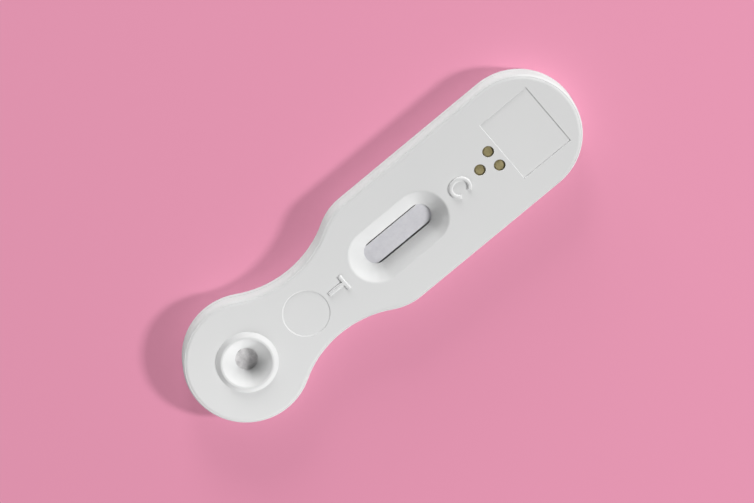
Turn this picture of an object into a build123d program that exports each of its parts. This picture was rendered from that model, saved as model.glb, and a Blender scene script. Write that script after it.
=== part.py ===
from build123d import *
import os
from math import sqrt

# A lateral flow test cassette: a paddle-shaped housing of two moulded shells that press
# together on pins and hold a layered test strip between them.
# It lies face up. X runs from the round sample end to the wide end, Z is up, and the
# origin is under the middle of the length, on the surface the cassette lies on.
# Offsets along X are counted from the centre of the nearer round end, and the side pins'
# offset from the end of the shoulder.

# Outline seen from above
sample_end_radius = 10.7
wide_half_width = 10.5
neck_half_width = 6.6
neck_offset = 14.8
shoulder_radius = 9.7

# Shell walls and edges
housing_height = 4.8
parting_height = 1.8
floor_thickness = 1.1
top_thickness = 1.0
wall_thickness = 1.3
top_edge_radius = 0.85
bottom_chamfer = 0.35
parting_gap_height = 0.2
parting_gap_depth = 0.5

# Six-sided press pins of the upper shell and their sockets in the lower shell
pin_radius = 0.8
pin_clearance = 0.03
pin_lead_in = 0.25
socket_radius = 1.45
socket_height = 1.7
pin_end_gap = 0.15
socket_wall_gap = 0.3
side_pin_offset = 4.0
sample_pin_angle = 125.0
wide_pin_angle = 42.0

# Test strip, in layers from the card upwards
strip_width = 3.6
strip_length = 66.0
strip_start_offset = -5.0
strip_end_offset = 2.2
card_thickness = 0.25
membrane_length = 25.0
membrane_thickness = 0.15
conjugate_length = 7.5
conjugate_thickness = 0.3
sample_pad_thickness = 0.4
absorbent_thickness = 0.8
wick_gap = 0.25
pad_overlap = 2.0
pad_ramp = 0.6

# Channel that holds the strip
channel_clearance = 0.1
rail_thickness = 0.8
rail_above_card = 0.1
rail_break_margin = 0.6
bed_bar_thickness = 1.0
bed_bar_count = 9
press_bar_thickness = 0.8
press_gap = 0.05

# Sample well: a low conical collar round a funnel
collar_base_radius = 5.25
collar_crest_radius = 4.5
funnel_mouth_radius = 4.15
collar_height = 0.6
crest_chamfer = 0.1
well_bore_radius = 1.92
well_bore_height = 0.15
well_wall = 0.8

# Result window: a bevelled stadium that narrows to a slot over the membrane
window_offset = -26.0
slot_length = 13.4
slot_width = 4.05
slot_lip = 0.15
slot_gap = 0.1
bevel_run = 2.75
bevel_edge_radius = 0.6
window_wall = 0.8

# Vent holes and the desiccant pad behind them
vent_radius = 0.98
vent_tip_offset = -8.6
vent_pair_offset = -5.6
vent_pair_spacing = 3.02
desiccant_margin = 0.6
desiccant_thickness = 0.95
desiccant_pocket = 0.5
desiccant_clearance = 0.1
desiccant_gap = 0.03
frame_thickness = 0.7

# Shallow recesses in the face
thumb_offset = 12.8
thumb_radius = 3.8
thumb_depth = 0.12
label_offset = 1.05
label_length = 9.9
label_width = 11.85
label_depth = 0.2

# Places that follow from the sizes above
end_spacing = strip_length + strip_start_offset - strip_end_offset
overall_length = sample_end_radius + end_spacing + wide_half_width
sample_x = sample_end_radius - overall_length / 2
wide_x = sample_x + end_spacing
neck_x = sample_x + neck_offset
neck_growth = neck_offset**2 + neck_half_width**2 - sample_end_radius**2
neck_radius = neck_growth / (2 * (sample_end_radius - neck_half_width))
neck_y = neck_half_width + neck_radius
shoulder_y = wide_half_width - shoulder_radius
shoulder_x = neck_x + sqrt((neck_radius + shoulder_radius) ** 2 - (neck_y - shoulder_y) ** 2)
window_x = wide_x + window_offset
vent_tip_x = wide_x + vent_tip_offset
vent_pair_x = wide_x + vent_pair_offset

# Heights that follow from the sizes above
top_underside = housing_height - top_thickness
pocket_top = top_underside + desiccant_pocket
desiccant_top = pocket_top - desiccant_gap
desiccant_bottom = desiccant_top - desiccant_thickness
card_top = desiccant_bottom - wick_gap - absorbent_thickness
card_bottom = card_top - card_thickness
membrane_top = card_top + membrane_thickness
conjugate_top = card_top + conjugate_thickness
sample_pad_top = card_top + sample_pad_thickness
slot_bottom = membrane_top + slot_gap
slot_top = slot_bottom + slot_lip
well_bottom = sample_pad_top + press_gap
crest_top = housing_height + collar_height

# Ends of the strip's layers
strip_start = sample_x + strip_start_offset
strip_end = wide_x + strip_end_offset
membrane_start = window_x - membrane_length / 2
membrane_end = window_x + membrane_length / 2
conjugate_end = membrane_start + pad_overlap
conjugate_start = conjugate_end - conjugate_length
sample_pad_end = conjugate_start + pad_overlap
absorbent_start = membrane_end - pad_overlap

# The channel, and the desiccant pad's extent
channel_half = strip_width / 2 + channel_clearance
channel_start = strip_start - channel_clearance
channel_end = strip_end + channel_clearance
desiccant_start = vent_tip_x - vent_radius - desiccant_margin
desiccant_end = vent_pair_x + vent_radius + desiccant_margin
desiccant_half = vent_pair_spacing / 2 + vent_radius + desiccant_margin


def outline(inset):
    """The housing's outline as a face on the ground, moved inwards by the inset."""
    sample = Vector(sample_x, 0)
    neck = Vector(neck_x, neck_y)
    shoulder = Vector(shoulder_x, shoulder_y)
    to_neck = (neck - sample).normalized()
    to_shoulder = (shoulder - neck).normalized()
    sample_round = sample_end_radius - inset
    shoulder_round = shoulder_radius - inset
    wide_round = wide_half_width - inset
    neck_start = sample + to_neck * sample_round
    neck_end = neck + to_shoulder * (neck_radius + inset)
    shoulder_middle = shoulder + (Vector(0, 1) - to_shoulder).normalized() * shoulder_round
    side_start = Vector(shoulder_x, wide_round)
    side_end = Vector(wide_x, wide_round)
    half = Curve() + [
        ThreePointArc(neck_start, (neck_x, neck_half_width - inset), neck_end),
        ThreePointArc(neck_end, shoulder_middle, side_start),
        Line(side_start, side_end),
    ]
    ends = [
        ThreePointArc(neck_start, (sample_x - sample_round, 0), (neck_start.X, -neck_start.Y)),
        ThreePointArc(side_end, (wide_x + wide_round, 0), (wide_x, -wide_round)),
    ]
    return make_face(half + mirror(half, about=Plane.XZ) + ends)


def slab(inset, bottom, top):
    """A plate of the housing's outline between two heights."""
    return Pos(0, 0, bottom) * extrude(outline(inset), amount=top - bottom)


def block(x_range, y_range, z_range):
    """A rectangular block between two values along each axis."""
    size = [high - low for low, high in (x_range, y_range, z_range)]
    low_corner = [low for low, high in (x_range, y_range, z_range)]
    return Pos(*low_corner) * Box(*size, align=Align.MIN)


def post(centre, radius, bottom, top):
    """An upright round post between two heights."""
    upright = Cylinder(radius, top - bottom, align=(Align.CENTER, Align.CENTER, Align.MIN))
    return Pos(*centre, bottom) * upright


def hex_post(centre, radius, bottom, top):
    """An upright six-sided post between two heights, with its radius to the corners."""
    return Pos(*centre, bottom) * extrude(RegularPolygon(radius, 6), amount=top - bottom)


def pin_places():
    """Where the press pins stand: a pair round each end and a pair past the shoulders."""
    reach = wall_thickness + socket_wall_gap + socket_radius
    sample_arm = Vector(sample_end_radius - reach, 0).rotate(Axis.Z, sample_pin_angle)
    wide_arm = Vector(wide_half_width - reach, 0).rotate(Axis.Z, wide_pin_angle)
    places = []
    for side in (1, -1):
        places.append((sample_x + sample_arm.X, side * sample_arm.Y))
        places.append((shoulder_x + side_pin_offset, side * (wide_half_width - reach)))
        places.append((wide_x + wide_arm.X, side * wide_arm.Y))
    return places


def vent_places():
    """The three vent holes: one towards the window and a pair towards the wide end."""
    half_spacing = vent_pair_spacing / 2
    return [(vent_tip_x, 0), (vent_pair_x, half_spacing), (vent_pair_x, -half_spacing)]


def stadium_taper(growth_low, z_low, growth_high, z_high):
    """A solid whose sections are the window's slot, grown by a different amount at each height."""
    straight = slot_length - slot_width
    low = SlotCenterToCenter(straight, slot_width + 2 * growth_low)
    high = SlotCenterToCenter(straight, slot_width + 2 * growth_high)
    return loft([Pos(window_x, 0, z_low) * low, Pos(window_x, 0, z_high) * high], ruled=True)


def turned(points):
    """A solid of revolution round the sample well's axis, from radius and height pairs."""
    profile = make_face(Plane.XZ * Polyline(*points, close=True))
    return Pos(sample_x, 0, 0) * revolve(profile, axis=Axis.Z)


def window_recess(shell):
    """Cut the window's slot and bevel, and round the bevel's edge at the face."""
    shell -= stadium_taper(0, slot_bottom - 1, 0, slot_top)
    shell -= stadium_taper(0, slot_top, bevel_run, housing_height)
    reach_x = slot_length / 2 + bevel_run + bevel_edge_radius
    reach_y = slot_width / 2 + bevel_run + bevel_edge_radius
    face_edges = shell.edges().filter_by_position(Axis.Z, housing_height, housing_height)
    rim = face_edges.filter_by_position(Axis.X, window_x - reach_x, window_x + reach_x)
    return fillet(rim.filter_by_position(Axis.Y, -reach_y, reach_y), bevel_edge_radius)


def window_skirt():
    """The window's walls below the face, following the bevel down to the slot."""
    return stadium_taper(window_wall, slot_bottom, bevel_run + window_wall, housing_height)


def well_body():
    """The collar above the face and the funnel's wall below it, still filled in."""
    return turned(
        [(0, well_bottom), (well_bore_radius + well_wall, well_bottom), (collar_base_radius, housing_height),
         (collar_crest_radius, crest_top), (0, crest_top)]
    )


def well_recess(shell):
    """Cut the funnel down to the bore over the sample pad, and break the crest's edges."""
    bore_top = well_bottom + well_bore_height
    shell -= turned(
        [(0, well_bottom - 1), (well_bore_radius, well_bottom - 1), (well_bore_radius, bore_top),
         (funnel_mouth_radius, crest_top), (0, crest_top)]
    )
    return chamfer(shell.edges().filter_by_position(Axis.Z, crest_top, crest_top), crest_chamfer)


def upper_shell():
    """The face half of the housing, with the well, window, vents, recesses and press pins."""
    shell = slab(0, parting_height, housing_height)
    shell = fillet(shell.edges().group_by(Axis.Z)[-1], top_edge_radius)
    shell -= slab(wall_thickness, parting_height, top_underside)

    shell += window_skirt()
    shell = window_recess(shell)
    shell += well_body()
    shell = well_recess(shell)

    for place in pin_places():
        pin = hex_post(place, pin_radius, floor_thickness + pin_end_gap, top_underside)
        shell += chamfer(pin.edges().group_by(Axis.Z)[0], pin_lead_in)
    for middle, pad_top in (
        (conjugate_start + pad_overlap / 2, conjugate_top + sample_pad_thickness),
        (membrane_end - pad_overlap / 2, membrane_top + absorbent_thickness),
    ):
        along = (middle - press_bar_thickness / 2, middle + press_bar_thickness / 2)
        shell += block(along, (-channel_half, channel_half), (pad_top + press_gap, top_underside))

    inside = desiccant_clearance
    outside = desiccant_clearance + frame_thickness
    frame_heights = (desiccant_bottom + desiccant_gap, top_underside)
    shell += desiccant_block(outside, frame_heights) - desiccant_block(inside, frame_heights)
    shell -= desiccant_block(inside, (top_underside, pocket_top))
    for place in vent_places():
        shell -= post(place, vent_radius, pocket_top, housing_height)

    shell -= post((sample_x + thumb_offset, 0), thumb_radius, housing_height - thumb_depth, housing_height)
    label = extrude(Rectangle(label_length, label_width), amount=-label_depth)
    shell -= Pos(wide_x + label_offset, 0, housing_height) * label
    return shell


def desiccant_block(margin, z_range):
    """A block of the desiccant pad's extent, grown sideways by a margin."""
    x_range = (desiccant_start - margin, desiccant_end + margin)
    return block(x_range, (-desiccant_half - margin, desiccant_half + margin), z_range)


def lower_shell():
    """The back half of the housing, with the strip's channel and bed and the pins' sockets."""
    shell = slab(0, 0, parting_height)
    shell = chamfer(shell.edges().group_by(Axis.Z)[0], bottom_chamfer)
    rim = shell.faces().sort_by(Axis.Z)[-1]
    shell = chamfer(rim.edges(), parting_gap_depth, parting_gap_height, reference=rim)
    shell -= slab(wall_thickness, floor_thickness, parting_height)

    rail_top = card_top + rail_above_card
    rail_out = channel_half + rail_thickness
    channel = block(
        (channel_start - rail_thickness, channel_end + rail_thickness),
        (-rail_out, rail_out),
        (floor_thickness, rail_top),
    )
    ledge_heights = (floor_thickness, desiccant_bottom - desiccant_gap)
    channel += desiccant_block(0, ledge_heights)
    channel -= block((channel_start, channel_end), (-channel_half, channel_half), ledge_heights)
    break_half = slot_length / 2 + rail_break_margin
    channel -= block((window_x - break_half, window_x + break_half), (-rail_out, rail_out), ledge_heights)
    shell += channel
    bar_step = (strip_length - bed_bar_thickness) / (bed_bar_count - 1)
    for number in range(bed_bar_count):
        bar_start = strip_start + number * bar_step
        shell += block(
            (bar_start, bar_start + bed_bar_thickness),
            (-channel_half, channel_half),
            (floor_thickness, card_bottom),
        )

    socket_top = floor_thickness + socket_height
    for place in pin_places():
        shell += hex_post(place, socket_radius, floor_thickness, socket_top)
        shell -= hex_post(place, pin_radius + pin_clearance, floor_thickness, socket_top)
    return shell


def strip_layer(underside, thickness):
    """A sheet across the strip, from the points of its underside seen from the side."""
    topside = [(x, z + thickness) for x, z in reversed(underside)]
    profile = make_face(Plane.XZ * Polyline(*underside, *topside, close=True))
    return extrude(profile, amount=strip_width / 2, both=True)


def backing_card():
    """The stiff card that carries every layer of the strip."""
    return strip_layer([(strip_start, card_bottom), (strip_end, card_bottom)], card_thickness)


def membrane():
    """The sheet read through the window."""
    return strip_layer([(membrane_start, card_top), (membrane_end, card_top)], membrane_thickness)


def conjugate_pad():
    """The pad between the sample pad and the membrane, lapping onto the membrane."""
    underside = [
        (conjugate_start, card_top),
        (membrane_start - pad_ramp, card_top),
        (membrane_start, membrane_top),
        (conjugate_end, membrane_top),
    ]
    return strip_layer(underside, conjugate_thickness)


def sample_pad():
    """The pad under the sample well, lapping onto the conjugate pad."""
    underside = [
        (strip_start, card_top),
        (conjugate_start - pad_ramp, card_top),
        (conjugate_start, conjugate_top),
        (sample_pad_end, conjugate_top),
    ]
    return strip_layer(underside, sample_pad_thickness)


def absorbent_pad():
    """The wick at the far end, lapping onto the membrane."""
    underside = [
        (absorbent_start, membrane_top),
        (membrane_end, membrane_top),
        (membrane_end + pad_ramp, card_top),
        (strip_end, card_top),
    ]
    return strip_layer(underside, absorbent_thickness)


def desiccant_pad():
    """The drying pad framed under the vent holes."""
    return desiccant_block(0, (desiccant_bottom, desiccant_top))


os.makedirs("parts", exist_ok=True)
export_step(upper_shell(), "parts/upper_shell.step")
export_step(lower_shell(), "parts/lower_shell.step")
export_step(backing_card(), "parts/backing_card.step")
export_step(sample_pad(), "parts/sample_pad.step")
export_step(conjugate_pad(), "parts/conjugate_pad.step")
export_step(membrane(), "parts/membrane.step")
export_step(absorbent_pad(), "parts/absorbent_pad.step")
export_step(desiccant_pad(), "parts/desiccant_pad.step")
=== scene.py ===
from math import cos, radians, sin

import bmesh
import bpy
from mathutils import Matrix, Vector, noise


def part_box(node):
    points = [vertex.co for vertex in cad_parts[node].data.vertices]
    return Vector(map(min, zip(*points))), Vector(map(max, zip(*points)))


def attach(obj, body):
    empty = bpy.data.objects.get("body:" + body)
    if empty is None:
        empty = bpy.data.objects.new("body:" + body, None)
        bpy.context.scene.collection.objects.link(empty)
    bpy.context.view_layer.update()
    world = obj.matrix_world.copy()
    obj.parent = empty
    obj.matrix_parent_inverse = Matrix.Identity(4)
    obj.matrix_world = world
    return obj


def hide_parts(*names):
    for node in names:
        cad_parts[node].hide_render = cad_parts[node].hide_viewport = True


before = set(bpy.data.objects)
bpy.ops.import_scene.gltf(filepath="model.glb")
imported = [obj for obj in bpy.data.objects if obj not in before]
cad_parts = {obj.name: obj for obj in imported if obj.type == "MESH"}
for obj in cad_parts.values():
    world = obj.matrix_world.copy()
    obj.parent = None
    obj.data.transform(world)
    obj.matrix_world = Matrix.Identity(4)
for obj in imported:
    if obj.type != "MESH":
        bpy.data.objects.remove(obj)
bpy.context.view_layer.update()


# Lower shell: the back half of the housing, injection moulded in white polystyrene.
# It lies flat under the strip, and its sockets grip the upper shell's pins, so the two
# halves are pressed together for good. Its edges leave the mould slightly rounded.
back_rounding = 0.045
cool_white = (0.775, 0.78, 0.78)
warm_white = (0.825, 0.825, 0.82)
to_millimetres = Matrix.Scale(1000, 4)
to_metres = Matrix.Scale(0.001, 4)


def add_node(tree, kind, **settings):
    """A node with its own attributes, or its unlinked inputs, set by name."""
    made = tree.nodes.new(kind)
    for name, value in settings.items():
        label = name.replace("_", " ")
        if label in made.inputs:
            made.inputs[label].default_value = value
        else:
            setattr(made, name, value)
    return made


def two_tone(tree, factor, first, second):
    """A colour that a factor runs from the first to the second. The first may be a node's output."""
    blend = add_node(tree, "ShaderNodeMix", data_type="RGBA")
    first_colour, second_colour = [entry for entry in blend.inputs if entry.type == "RGBA"]
    if isinstance(first, tuple):
        first_colour.default_value = (*first, 1.0)
    else:
        tree.links.new(first, first_colour)
    second_colour.default_value = (*second, 1.0)
    tree.links.new(factor, blend.inputs["Factor"])
    return [entry for entry in blend.outputs if entry.type == "RGBA"][0]


def raise_grain(tree, height, target, strength, distance):
    """Raise a surface's grain by a height, over a distance in metres."""
    relief = add_node(tree, "ShaderNodeBump", Strength=strength, Distance=distance)
    tree.links.new(height, relief.inputs["Height"])
    tree.links.new(relief.outputs["Normal"], target)


def moulded_surface():
    """The slow tone of the melt, the satin gloss and the spark-eroded grain of a moulded face."""
    tree = bpy.data.node_groups.new("moulded_surface", "ShaderNodeTree")
    for name in ("Tone", "Roughness", "Grain"):
        tree.interface.new_socket(name, in_out="OUTPUT", socket_type="NodeSocketFloat")
    place = add_node(tree, "ShaderNodeTexCoord")
    melt = add_node(tree, "ShaderNodeTexNoise", Scale=55.0, Detail=3.0, Roughness=0.55)
    satin = add_node(tree, "ShaderNodeTexNoise", Scale=420.0, Detail=2.0, Roughness=0.6)
    spark = add_node(tree, "ShaderNodeTexNoise", Scale=6500.0, Detail=2.0, Roughness=0.65)
    gloss = add_node(tree, "ShaderNodeMapRange", To_Min=0.68, To_Max=0.8)
    end = add_node(tree, "NodeGroupOutput")
    for pattern in (melt, satin, spark):
        tree.links.new(place.outputs["Object"], pattern.inputs["Vector"])
    tree.links.new(satin.outputs["Fac"], gloss.inputs["Value"])
    tree.links.new(melt.outputs["Fac"], end.inputs["Tone"])
    tree.links.new(gloss.outputs["Result"], end.inputs["Roughness"])
    tree.links.new(spark.outputs["Fac"], end.inputs["Grain"])
    return tree


def satin_white_plastic():
    """White polystyrene with the satin finish of its mould."""
    finish = bpy.data.materials.new("satin_white_plastic")
    finish.use_nodes = True
    tree = finish.node_tree
    shader = tree.nodes["Principled BSDF"]
    surface = add_node(tree, "ShaderNodeGroup", node_tree=moulded_surface())
    tone = two_tone(tree, surface.outputs["Tone"], cool_white, warm_white)
    tree.links.new(tone, shader.inputs["Base Color"])
    tree.links.new(surface.outputs["Roughness"], shader.inputs["Roughness"])
    raise_grain(tree, surface.outputs["Grain"], shader.inputs["Normal"], strength=0.12, distance=0.00002)
    return finish


def in_millimetres(node):
    """A CAD node's triangles joined into one surface, in millimetres, with flat faces made whole."""
    weld_distance = 0.0005
    flat_angle = radians(0.2)
    surface = bmesh.new()
    surface.from_mesh(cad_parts[node].data)
    bmesh.ops.transform(surface, matrix=to_millimetres, verts=surface.verts)
    bmesh.ops.remove_doubles(surface, verts=surface.verts, dist=weld_distance)
    bmesh.ops.dissolve_limit(surface, angle_limit=flat_angle, verts=surface.verts, edges=surface.edges)
    return surface


def finished_piece(surface, name, finish, rounding=0.0, sharp_angle=35):
    """A piece from a surface in millimetres, with its edges rounded and its place in its mesh."""
    mesh = bpy.data.meshes.new(name)
    surface.to_mesh(mesh)
    surface.free()
    rough = bpy.data.objects.new(name + "_rough", mesh)
    bpy.context.scene.collection.objects.link(rough)
    if rounding:
        edges = rough.modifiers.new("rounded edges", "BEVEL")
        edges.width = rounding
        edges.segments = 3
        edges.limit_method = "ANGLE"
        edges.angle_limit = radians(30)
    for face in mesh.polygons:
        face.use_smooth = True
    flats = rough.modifiers.new("flat faces", "WEIGHTED_NORMAL")
    flats.weight = 60
    flats.keep_sharp = True
    mesh.set_sharp_from_angle(angle=radians(sharp_angle))
    evaluated = rough.evaluated_get(bpy.context.evaluated_depsgraph_get())
    whole = bpy.data.meshes.new_from_object(evaluated)
    whole.transform(to_metres)
    whole.materials.clear()
    whole.materials.append(finish)
    bpy.data.objects.remove(rough)
    whole.name = name
    piece = bpy.data.objects.new(name, whole)
    bpy.context.scene.collection.objects.link(piece)
    return piece


shell_finish = satin_white_plastic()
back_half = finished_piece(in_millimetres("lower_shell"), "back_half", shell_finish, back_rounding)
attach(back_half, "root")
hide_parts("lower_shell")


# Upper shell: the face half, moulded in the same white polystyrene as the back half. Its
# pins press into the back half's sockets. It carries the sample well's funnel, the bevelled
# window, the vents, and two shallow recesses whose edges the mould leaves faint and soft.
square_floor = 4.6
square_rise = 0.09
round_middle = Vector((-16.5, 0.0))
round_radius = 3.8
round_floor = 4.68
floor_spread = 0.05
rim_spread = 0.24
same_place = 0.01
face_rounding = 0.06
# The square recess is shallower than the solid's, and the round one has a sloped edge.
face_surface = in_millimetres("upper_shell")
for point in face_surface.verts:
    if abs(point.co.z - square_floor) < same_place:
        point.co.z += square_rise
    outwards = point.co.xy - round_middle
    if abs(outwards.length - round_radius) < same_place and point.co.z > round_floor - same_place:
        spread = rim_spread if point.co.z > round_floor + same_place else floor_spread
        point.co.xy = round_middle + outwards.normalized() * (round_radius + spread)
face_half = finished_piece(face_surface, "face_half", shell_finish, face_rounding)
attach(face_half, "root")
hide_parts("upper_shell")


# Raised C and T: the control and test marks beside the window, cut into the mould so that
# they stand up from the face as part of it, with round edges.
mark_height = 0.28
mark_foot = 0.05
mark_edge = 0.24
mark_steps = 5
stroke = 0.67
collar_height = 0.6
face_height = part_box("upper_shell")[1][2] * 1000 - collar_height


def raised_mark(outline, name):
    """A letter that stands on the face, from a function that gives its outline at an inset."""
    surface = bmesh.new()
    levels = [(0.0, -mark_foot)]
    for step in range(mark_steps + 1):
        lean = radians(90 * step / mark_steps)
        levels.append((mark_edge * (1 - cos(lean)), mark_height - mark_edge * (1 - sin(lean))))
    rings = []
    for inset, rise in levels:
        rings.append([surface.verts.new((x, y, face_height + rise)) for x, y in outline(inset)])
    sides = [(corner, (corner + 1) % len(rings[0])) for corner in range(len(rings[0]))]
    for low, high in zip(rings, rings[1:]):
        for first, second in sides:
            surface.faces.new((low[first], low[second], high[second], high[first]))
    for ring in (rings[0], rings[-1]):
        rim = [surface.edges.get((ring[first], ring[second])) for first, second in sides]
        bmesh.ops.triangle_fill(surface, edges=rim, use_beauty=True)
    bmesh.ops.recalc_face_normals(surface, faces=surface.faces)
    letter = finished_piece(surface, name, shell_finish, sharp_angle=60)
    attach(letter, "root")


bar_top = -7.97
bar_half = 1.41
stem_foot = -11.58


def t_outline(inset):
    """The T's corners, with its crossbar towards the window."""
    top, bottom, foot = bar_top - inset, bar_top - stroke + inset, stem_foot + inset
    wide, narrow = bar_half - inset, stroke / 2 - inset
    half = [(foot, narrow), (bottom, narrow), (bottom, wide), (top, wide)]
    return [(x, -y) for x, y in half] + half[::-1]


bow_centre = (16.52, -0.19)
bow_half_length = 1.99
bow_half_width = 1.8
bow_start = -57.0
bow_end = 242.0
bow_steps = 48


def c_outline(inset):
    """The C's outer bow and then its inner bow, open towards the cassette's side."""
    ends = inset / (bow_half_width - stroke / 2)
    first, last = radians(bow_start) + ends, radians(bow_end) - ends
    turns = [first + (last - first) * step / bow_steps for step in range(bow_steps + 1)]
    bows = []
    for depth, order in ((inset, turns), (stroke - inset, turns[::-1])):
        length, width = bow_half_length - depth, bow_half_width - depth
        bows += [(bow_centre[0] + length * cos(turn), bow_centre[1] + width * sin(turn)) for turn in order]
    return bows


raised_mark(t_outline, "mark_t")
raised_mark(c_outline, "mark_c")


# Backing card: a strip of white vinyl card that carries every layer of the test strip.
# It is guillotined from a wide sheet and drops between the rails of the back half.
facing_up = 0.9
lump_scale = 1.7


def fibre_group():
    """Matted fibres: a fine tangle, the cloudy thickness of a felt, and a mask of its steep sides, where
    painted shade goes.
    """
    tree = bpy.data.node_groups.new("matted_fibres", "ShaderNodeTree")
    tree.interface.new_socket("Scale", in_out="INPUT", socket_type="NodeSocketFloat")
    for name in ("Cloud", "Tangle", "Shaded Side"):
        tree.interface.new_socket(name, in_out="OUTPUT", socket_type="NodeSocketFloat")
    start = add_node(tree, "NodeGroupInput")
    place = add_node(tree, "ShaderNodeTexCoord")
    cloud = add_node(tree, "ShaderNodeTexNoise", Scale=1100.0, Detail=4.0, Roughness=0.65)
    patches = add_node(tree, "ShaderNodeMapRange", From_Min=0.34, From_Max=0.66)
    tangle = add_node(tree, "ShaderNodeTexNoise", Detail=6.0, Roughness=0.7, Distortion=1.6)
    facing = add_node(tree, "ShaderNodeNewGeometry")
    parts = add_node(tree, "ShaderNodeSeparateXYZ")
    upright = add_node(tree, "ShaderNodeMath", operation="ABSOLUTE")
    # Painted shade: faces that stand steeply, the cut sides of a sheet, get a mask that darkens them.
    cut = add_node(tree, "ShaderNodeMapRange", From_Min=0.5, From_Max=0.9, To_Min=1.0, To_Max=0.0)
    end = add_node(tree, "NodeGroupOutput")
    for pattern in (cloud, tangle):
        tree.links.new(place.outputs["Object"], pattern.inputs["Vector"])
    tree.links.new(start.outputs["Scale"], tangle.inputs["Scale"])
    tree.links.new(cloud.outputs["Fac"], patches.inputs["Value"])
    tree.links.new(patches.outputs["Result"], end.inputs["Cloud"])
    tree.links.new(tangle.outputs["Fac"], end.inputs["Tangle"])
    tree.links.new(facing.outputs["True Normal"], parts.inputs["Vector"])
    tree.links.new(parts.outputs["Z"], upright.inputs[0])
    tree.links.new(upright.outputs["Value"], cut.inputs["Value"])
    tree.links.new(cut.outputs["Result"], end.inputs["Shaded Side"])
    return tree


matted_fibres = fibre_group()


def sheet_finish(name, dark, light, tangle_scale, roughness, relief, edge_shade_share=0.06):
    """A porous sheet whose colour and surface follow its matted fibres, with its steep cut sides darkened
    as painted shade.
    """
    finish = bpy.data.materials.new(name)
    finish.use_nodes = True
    tree = finish.node_tree
    shader = tree.nodes["Principled BSDF"]
    shader.inputs["Roughness"].default_value = roughness
    shader.inputs["Specular IOR Level"].default_value = 0.25
    fibres = add_node(tree, "ShaderNodeGroup", node_tree=matted_fibres)
    fibres.inputs["Scale"].default_value = tangle_scale
    face_tone = two_tone(tree, fibres.outputs["Cloud"], dark, light)
    # Painted shade: the sheet's steep sides are darkened to a share of its dark tone, standing in for the
    # shade in the narrow gaps around it; a share near 1 paints almost none.
    painted_edge_shade = tuple(edge_shade_share * part for part in dark)
    whole_tone = two_tone(tree, fibres.outputs["Shaded Side"], face_tone, painted_edge_shade)
    tree.links.new(whole_tone, shader.inputs["Base Color"])
    raise_grain(tree, fibres.outputs["Tangle"], shader.inputs["Normal"], strength=relief, distance=0.00004)
    return finish


def no_swelling(place):
    """A sheet that lies as flat as it was cut."""
    return 0.0


def sheet_piece(node, name, finish, cell, unevenness, swelling=no_swelling):
    """A sheet from its CAD solid, cut into small cells and uneven on top, that may swell by the place."""
    surface = in_millimetres(node)
    low, high = [Vector(corner) * 1000 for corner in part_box(node)]
    for axis in (0, 1):
        across = Vector((axis == 0, axis == 1, 0))
        count = round((high[axis] - low[axis]) / cell)
        for step in range(1, count):
            parts = [*surface.verts, *surface.edges, *surface.faces]
            cut_at = across * (low[axis] + (high[axis] - low[axis]) * step / count)
            bmesh.ops.bisect_plane(surface, geom=parts, plane_co=cut_at, plane_no=across)
    surface.normal_update()
    for point in surface.verts:
        if point.normal.z > facing_up:
            rise = unevenness * noise.noise(point.co * lump_scale)
            point.co.z += rise + swelling(point.co.xy)
    piece = finished_piece(surface, name, finish)
    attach(piece, "root")
    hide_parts(node)
    return piece


card_finish = sheet_finish("vinyl_card", dark=(0.74, 0.74, 0.72), light=(0.8, 0.8, 0.78),
                           tangle_scale=2600.0, roughness=0.5, relief=0.05)
sheet_piece("backing_card", "card_strip", card_finish, cell=1.2, unevenness=0.0)


# Membrane: a cast microporous sheet stuck to the card, read through the window.
# It is plain, smooth and faintly lilac, and its pores are too fine to see.
membrane_finish = sheet_finish("microporous_sheet", dark=(0.75, 0.745, 0.785), light=(0.81, 0.805, 0.84),
                               tangle_scale=5200.0, roughness=0.6, relief=0.06)
sheet_piece("membrane", "reading_sheet", membrane_finish, cell=0.6, unevenness=0.004)


# Conjugate pad: dyed glass fibre felt between the sample pad and the membrane, out of
# sight under the neck. It is pressed onto the sheet by a bar of the upper shell.
conjugate_finish = sheet_finish("dyed_felt", dark=(0.5, 0.24, 0.29), light=(0.68, 0.4, 0.45),
                                tangle_scale=3800.0, roughness=0.9, relief=0.4)
sheet_piece("conjugate_pad", "dye_pad", conjugate_finish, cell=0.4, unevenness=0.02)


# Sample pad: grey glass fibre felt at the bottom of the well, where the drops fall.
# It is cut from a wide felt, and its end laps onto the conjugate pad.
sample_finish = sheet_finish("glass_fibre_felt", dark=(0.68, 0.665, 0.67), light=(0.93, 0.915, 0.92),
                             tangle_scale=3400.0, roughness=0.9, relief=0.45)
drop_pad = sheet_piece("sample_pad", "drop_pad", sample_finish, cell=0.3,
                       unevenness=0.02)


# Loose fibres: glass fibres that lie proud of the sample pad at the bottom of the well.
# They are laid wet at random, so they cross each other, and are bound by the felt below.
well_end_radius = 10.7
bare_radius = 1.6
fibre_sizes = {"Density": 26.0, "Length": 0.95, "Thickness": 0.04, "Bend": 0.16, "Lift": 0.02, "Seed": 7}
least_turn, most_turn = (-0.02, -0.02, 0.0), (0.02, 0.02, 6.283)
least_share, most_share = (0.45, 0.1, 0.7), (1.0, 1.0, 1.1)


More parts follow.
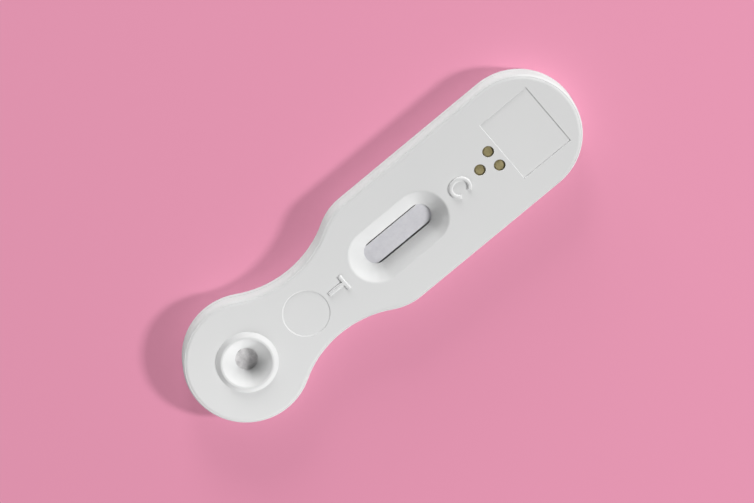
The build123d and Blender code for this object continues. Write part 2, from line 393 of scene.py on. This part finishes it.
def scattered_fibres():
    """Bent fibres scattered over a surface, each turned and shortened at random."""
    tree = bpy.data.node_groups.new("scattered_fibres", "GeometryNodeTree")
    tree.interface.new_socket("Surface", in_out="INPUT", socket_type="NodeSocketGeometry")
    for name in ("Density", "Length", "Thickness", "Bend", "Lift"):
        tree.interface.new_socket(name, in_out="INPUT", socket_type="NodeSocketFloat")
    tree.interface.new_socket("Seed", in_out="INPUT", socket_type="NodeSocketInt")
    tree.interface.new_socket("Finish", in_out="INPUT", socket_type="NodeSocketMaterial")
    tree.interface.new_socket("Fibres", in_out="OUTPUT", socket_type="NodeSocketGeometry")
    start = add_node(tree, "NodeGroupInput")
    forwards, backwards, across = [add_node(tree, "ShaderNodeMath", operation="MULTIPLY")
                                   for half in range(3)]
    forwards.inputs[1].default_value = 0.5
    backwards.inputs[1].default_value = -0.5
    across.inputs[1].default_value = 0.5
    near_end, bow, far_end = [add_node(tree, "ShaderNodeCombineXYZ") for place in range(3)]
    line = add_node(tree, "GeometryNodeCurveQuadraticBezier", Resolution=6)
    section = add_node(tree, "GeometryNodeCurvePrimitiveCircle", Resolution=5)
    tube = add_node(tree, "GeometryNodeCurveToMesh", Fill_Caps=True)
    points = add_node(tree, "GeometryNodeDistributePointsOnFaces")
    turns = add_node(tree, "FunctionNodeRandomValue", data_type="FLOAT_VECTOR")
    turns.inputs["Min"].default_value = least_turn
    turns.inputs["Max"].default_value = most_turn
    shares = add_node(tree, "FunctionNodeRandomValue", data_type="FLOAT_VECTOR")
    shares.inputs["Min"].default_value = least_share
    shares.inputs["Max"].default_value = most_share
    laid = add_node(tree, "GeometryNodeInstanceOnPoints")
    whole = add_node(tree, "GeometryNodeRealizeInstances")
    dressed = add_node(tree, "GeometryNodeSetMaterial")
    end = add_node(tree, "NodeGroupOutput")
    for giver, name, taker, place in (
        (start, "Length", forwards, 0),
        (start, "Length", backwards, 0),
        (start, "Thickness", across, 0),
        (backwards, "Value", near_end, "X"),
        (start, "Bend", bow, "Y"),
        (start, "Lift", bow, "Z"),
        (forwards, "Value", far_end, "X"),
        (near_end, "Vector", line, "Start"),
        (bow, "Vector", line, "Middle"),
        (far_end, "Vector", line, "End"),
        (across, "Value", section, "Radius"),
        (line, "Curve", tube, "Curve"),
        (section, "Curve", tube, "Profile Curve"),
        (start, "Surface", points, "Mesh"),
        (start, "Density", points, "Density"),
        (start, "Seed", points, "Seed"),
        (start, "Seed", turns, "Seed"),
        (start, "Seed", shares, "Seed"),
        (points, "Points", laid, "Points"),
        (tube, "Mesh", laid, "Instance"),
        (turns, "Value", laid, "Rotation"),
        (shares, "Value", laid, "Scale"),
        (laid, "Instances", whole, "Geometry"),
        (whole, "Geometry", dressed, "Geometry"),
        (start, "Finish", dressed, "Material"),
        (dressed, "Geometry", end, "Fibres"),
    ):
        tree.links.new(giver.outputs[name], taker.inputs[place])
    return tree


def fibres_on(pad, centre, reach, sizes, finish, name):
    """Fibres on the part of a pad's top that lies within a distance of a centre, in millimetres."""
    top = bmesh.new()
    top.from_mesh(pad.data)
    bmesh.ops.transform(top, matrix=to_millimetres, verts=top.verts)
    top.normal_update()
    hidden = [face for face in top.faces
              if face.normal.z < facing_up or (face.calc_center_median().xy - centre).length > reach]
    bmesh.ops.delete(top, geom=hidden, context="FACES")
    carrier_mesh = bpy.data.meshes.new(name + "_carrier")
    top.to_mesh(carrier_mesh)
    top.free()
    carrier = bpy.data.objects.new(name + "_carrier", carrier_mesh)
    bpy.context.scene.collection.objects.link(carrier)
    scatter = carrier.modifiers.new("scattered fibres", "NODES")
    scatter.node_group = scattered_fibres()
    for entry in scatter.node_group.interface.items_tree:
        if entry.in_out == "INPUT" and entry.name in sizes:
            scatter[entry.identifier] = sizes[entry.name]
        if entry.in_out == "INPUT" and entry.name == "Finish":
            scatter[entry.identifier] = finish
    whole = bpy.data.meshes.new_from_object(carrier.evaluated_get(bpy.context.evaluated_depsgraph_get()))
    whole.transform(to_metres)
    whole.name = name
    bpy.data.objects.remove(carrier)
    piece = bpy.data.objects.new(name, whole)
    bpy.context.scene.collection.objects.link(piece)
    return piece


fibre_finish = sheet_finish("glass_fibres", dark=(0.74, 0.725, 0.73), light=(0.94, 0.925, 0.93),
                            tangle_scale=3400.0, roughness=0.7, relief=0.1, edge_shade_share=0.9)
well_middle = Vector((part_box("upper_shell")[0][0] * 1000 + well_end_radius, 0.0))
pad_fibres = fibres_on(drop_pad, well_middle, bare_radius, fibre_sizes, fibre_finish, "pad_fibres")
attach(pad_fibres, "root")


# Absorbent pad: a thick cotton fibre wick at the far end of the strip, which draws the
# liquid along. It is stuck to the card and laps onto the membrane.
wick_finish = sheet_finish("cotton_felt", dark=(0.66, 0.66, 0.62), light=(0.8, 0.8, 0.77),
                           tangle_scale=3000.0, roughness=0.92, relief=0.45)
sheet_piece("absorbent_pad", "wick_pad", wick_finish, cell=0.5, unevenness=0.025)


# Desiccant pad: a pressed olive sheet held in a frame under the vents, where it keeps the
# strip dry. Only three small discs of it show, where it swells up into the holes.
vent_middles = [Vector((20.9, 0.0)), Vector((23.9, 1.51)), Vector((23.9, -1.51))]
swollen_radius = 0.94
vent_swelling = 0.3
shoulder_power = 10


def swelling_in_vents(place):
    """How far the pad stands up into the nearest vent, flat in the middle and round at the wall."""
    share = min((place - middle).length for middle in vent_middles) / swollen_radius
    return vent_swelling * max(0.0, 1.0 - share ** shoulder_power)


# The sides of its swellings get only a light painted shade.
desiccant_finish = sheet_finish("pressed_olive_sheet", dark=(0.29, 0.245, 0.115), light=(0.44, 0.375, 0.2),
                                tangle_scale=2800.0, roughness=0.85, relief=0.35, edge_shade_share=0.8)
sheet_piece("desiccant_pad", "drying_pad", desiccant_finish, cell=0.14, unevenness=0.03,
            swelling=swelling_in_vents)


# Floor: a plain pale pink sheet of studio paper that the cassette lies on. The camera sees
# its colour, which a share of its own glow keeps even and its shadows soft, and the light
# that it sends back up is neutral.
floor_reach = 2.0
floor_level = -0.00002
paper_grey = (0.62, 0.62, 0.62)
paper_pink = (0.96, 0.375, 0.545)
lit_share = 0.57
glow_share = 0.4
floor_mesh = bpy.data.meshes.new("studio_paper")
floor_corners = [(-floor_reach, -floor_reach, floor_level), (floor_reach, -floor_reach, floor_level),
                 (floor_reach, floor_reach, floor_level), (-floor_reach, floor_reach, floor_level)]
floor_mesh.from_pydata(floor_corners, [], [(0, 1, 2, 3)])
floor = bpy.data.objects.new("studio_paper", floor_mesh)
bpy.context.scene.collection.objects.link(floor)
paper = bpy.data.materials.new("pink_paper")
paper.use_nodes = True
paper_tree = paper.node_tree
paper_shader = paper_tree.nodes["Principled BSDF"]
paper_shader.inputs["Roughness"].default_value = 0.95
paper_shader.inputs["Specular IOR Level"].default_value = 0.0
paper_shader.inputs["Emission Color"].default_value = (*paper_pink, 1.0)
seen = add_node(paper_tree, "ShaderNodeLightPath")
mirrored = add_node(paper_tree, "ShaderNodeMath", operation="MAXIMUM")
shown = add_node(paper_tree, "ShaderNodeMath", operation="MAXIMUM")
paper_tree.links.new(seen.outputs["Is Glossy Ray"], mirrored.inputs[0])
paper_tree.links.new(seen.outputs["Is Transmission Ray"], mirrored.inputs[1])
paper_tree.links.new(seen.outputs["Is Camera Ray"], shown.inputs[0])
paper_tree.links.new(mirrored.outputs["Value"], shown.inputs[1])
lit_pink = tuple(lit_share * part for part in paper_pink)
paper_tone = two_tone(paper_tree, shown.outputs["Value"], paper_grey, lit_pink)
paper_tree.links.new(paper_tone, paper_shader.inputs["Base Color"])
paper_glow = add_node(paper_tree, "ShaderNodeMath", operation="MULTIPLY")
paper_glow.inputs[1].default_value = glow_share
paper_tree.links.new(shown.outputs["Value"], paper_glow.inputs[0])
paper_tree.links.new(paper_glow.outputs["Value"], paper_shader.inputs["Emission Strength"])
floor_mesh.materials.append(paper)


# Studio light: a softbox at the right of the picture that reaches into the well, two low
# ones behind that light the walls and shade the bevels, and a small close one at the round
# end, which a flag keeps off the paper. The room adds a faint even light.
def softbox(name, bearing, height_angle, distance, width, power):
    """A square lamp that faces the cassette, placed by its bearing from +X, with its power in watts."""
    lamp = bpy.data.lights.new(name, "AREA")
    lamp.size = width
    lamp.energy = power
    stand = bpy.data.objects.new(name, lamp)
    around, above = radians(bearing), radians(height_angle)
    direction = Vector((cos(around) * cos(above), sin(around) * cos(above), sin(above)))
    stand.location = direction * distance
    stand.rotation_euler = direction.to_track_quat("Z", "Y").to_euler()
    stand.visible_camera = False
    bpy.context.scene.collection.objects.link(stand)
    return stand


softbox("key_softbox", bearing=-42, height_angle=35, distance=1.1, width=0.14, power=10.1)
softbox("back_softbox", bearing=60, height_angle=14, distance=1.1, width=0.35, power=7.1)
softbox("rim_softbox", bearing=80, height_angle=6, distance=1.1, width=0.2, power=2.4)
end_softbox = softbox("end_softbox", bearing=-150, height_angle=25, distance=0.16, width=0.08, power=0.104)
paper_flag = bpy.data.collections.new("paper_flag")
paper_flag.objects.link(floor)
paper_flag.collection_objects[0].light_linking.link_state = "EXCLUDE"
end_softbox.light_linking.receiver_collection = paper_flag
room_light = 0.05
room = bpy.data.worlds.new("white_room")
room.use_nodes = True
room.node_tree.nodes["Background"].inputs["Color"].default_value = (1.0, 1.0, 1.0, 1.0)
room.node_tree.nodes["Background"].inputs["Strength"].default_value = room_light
bpy.context.scene.world = room


# Camera: a long lens that looks down on the face, turned so that the cassette runs from
# the lower left of the picture to the upper right.
towards_camera = Vector((0.1036, 0.2586, 0.96)).normalized()
picture_up = Vector((0.6334, 0.7271, -0.264))
picture_right = picture_up.cross(towards_camera).normalized()
picture_up = towards_camera.cross(picture_right)
lens = 0.2
sensor = 0.036
picture_width = 0.12545
aim = -0.000513 * picture_right - 0.00143 * picture_up
viewer = bpy.data.cameras.new("viewer")
viewer.lens = lens * 1000
viewer.sensor_width = sensor * 1000
camera = bpy.data.objects.new("viewer", viewer)
turn = Matrix((picture_right, picture_up, towards_camera)).transposed().to_4x4()
camera.matrix_world = Matrix.Translation(aim + towards_camera * picture_width * lens / sensor) @ turn
bpy.context.scene.collection.objects.link(camera)
bpy.context.scene.camera = camera
bpy.context.scene.view_settings.view_transform = "Standard"
